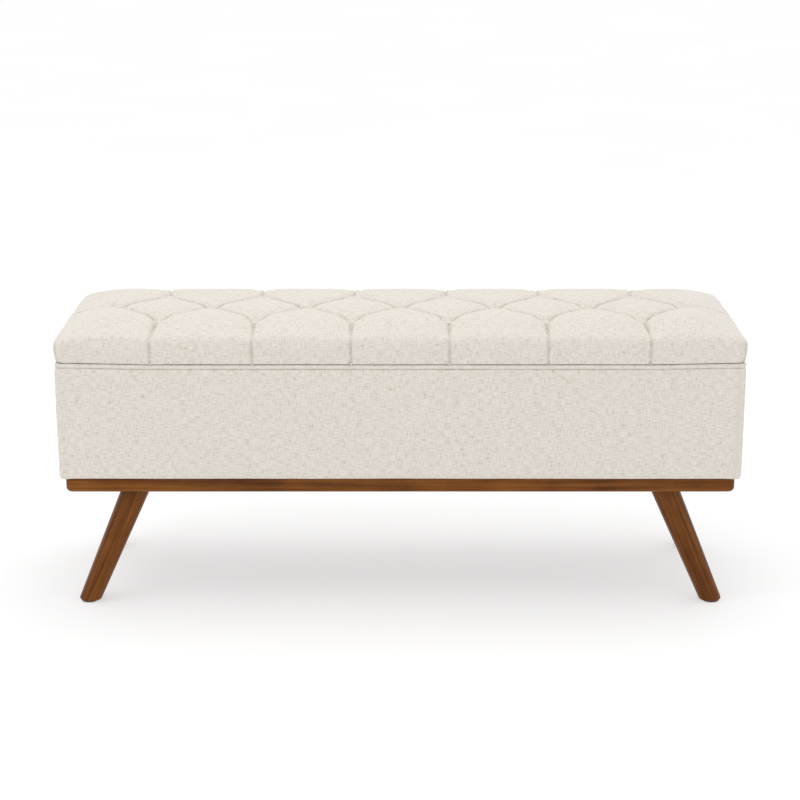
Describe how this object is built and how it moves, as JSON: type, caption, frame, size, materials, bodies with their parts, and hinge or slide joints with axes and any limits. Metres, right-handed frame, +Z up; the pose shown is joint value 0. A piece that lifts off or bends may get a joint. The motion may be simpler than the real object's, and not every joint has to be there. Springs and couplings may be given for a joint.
{
  "type": "storage ottoman bench",
  "caption": "Long upholstered storage bench with a diamond-tufted hinged lid, a wooden plinth and round splayed legs.",
  "frame": {"origin": "on the floor, under the middle of the bench", "axes": "+Z up, +X to the right along the length, -Y towards the front, so the lid's hinges are at +Y"},
  "size_m": [1.12, 0.3565, 0.475],
  "materials": {
    "linen_cloth": "matte",
    "walnut_plinth": "satin",
    "walnut_legs": "satin",
    "plywood": "matte",
    "pine": "matte",
    "lining_cloth": "matte",
    "dust_cloth": "matte",
    "foam": "matte",
    "wadding": "matte",
    "twine": "matte",
    "rubber_pads": "matte",
    "glide_plastic": "matte",
    "stay_steel": "satin",
    "hinge_steel": "satin",
    "zinc_steel": "satin"
  },
  "bodies": {
    "base": {"base_hardware_screws": "zinc_steel", "box_back_panel": "plywood", "box_cover": "linen_cloth", "box_floor_board": "plywood", "box_front_panel": "plywood", "box_left_panel": "plywood", "box_right_panel": "plywood", "box_wadding": "wadding", "corner_posts": "pine", "dust_cloth": "dust_cloth", "frame_screws": "zinc_steel", "hinge_centre_box_leaf": "hinge_steel", "hinge_left_box_leaf": "hinge_steel", "hinge_pins": "hinge_steel", "hinge_right_box_leaf": "hinge_steel", "leg_back_left": "walnut_legs", "leg_back_right": "walnut_legs", "leg_front_left": "walnut_legs", "leg_front_right": "walnut_legs", "leg_glides": "glide_plastic", "leg_hanger_bolts": "zinc_steel", "leg_insert_nuts": "zinc_steel", "lining_back": "lining_cloth", "lining_floor": "lining_cloth", "lining_front": "lining_cloth", "lining_left": "lining_cloth", "lining_right": "lining_cloth", "plinth_back_rail": "walnut_plinth", "plinth_front_rail": "walnut_plinth", "plinth_left_rail": "walnut_plinth", "plinth_middle_rail": "walnut_plinth", "plinth_right_rail": "walnut_plinth", "rim_bumpers": "rubber_pads", "rim_rail_back": "pine", "rim_rail_front": "pine", "rim_rail_left": "pine", "rim_rail_right": "pine", "rim_strip": "linen_cloth", "rim_welt": "linen_cloth", "stay_backing_blocks": "pine", "stay_left_damper": "stay_steel", "stay_right_damper": "stay_steel"},
    "lid": {"button_anchors": "zinc_steel", "button_ties": "twine", "hinge_centre_lid_leaf": "hinge_steel", "hinge_left_lid_leaf": "hinge_steel", "hinge_right_lid_leaf": "hinge_steel", "lid_board": "plywood", "lid_cloth": "lining_cloth", "lid_cover": "linen_cloth", "lid_foam": "foam", "lid_hardware_screws": "zinc_steel", "stay_left_bracket": "stay_steel", "stay_right_bracket": "stay_steel", "tuft_buttons": "linen_cloth"},
    "stay_left_arm": {"stay_left_arm": "stay_steel"},
    "stay_left_link": {"stay_left_link": "stay_steel"},
    "stay_right_arm": {"stay_right_arm": "stay_steel"},
    "stay_right_link": {"stay_right_link": "stay_steel"}
  },
  "joints": [
    {"name": "lid_hinge", "type": "hinge", "parent": "base", "child": "lid", "pos_m": [0, 0.176, 0.4225], "axis": [-1, 0, 0], "range_deg": [0, 82]},
    {"name": "stay_left_arm_pivot", "type": "hinge", "parent": "base", "child": "stay_left_arm", "pos_m": [-0.5, 0.112, 0.3475], "axis": [-1, 0, 0], "range_deg": [0, 82]},
    {"name": "stay_left_link_pivot", "type": "hinge", "parent": "stay_left_arm", "child": "stay_left_link", "pos_m": [-0.5, -0.018, 0.3255], "axis": [-1, 0, 0], "range_deg": [-82, 0]},
    {"name": "stay_right_arm_pivot", "type": "hinge", "parent": "base", "child": "stay_right_arm", "pos_m": [0.5, 0.112, 0.3475], "axis": [-1, 0, 0], "range_deg": [0, 82]},
    {"name": "stay_right_link_pivot", "type": "hinge", "parent": "stay_right_arm", "child": "stay_right_link", "pos_m": [0.5, -0.018, 0.3255], "axis": [-1, 0, 0], "range_deg": [-82, 0]}
  ],
  "couplings": [
    {"joint": "stay_left_arm_pivot", "follows": "lid_hinge", "ratio": 1},
    {"joint": "stay_left_link_pivot", "follows": "lid_hinge", "ratio": -1},
    {"joint": "stay_right_arm_pivot", "follows": "lid_hinge", "ratio": 1},
    {"joint": "stay_right_link_pivot", "follows": "lid_hinge", "ratio": -1}
  ]
}
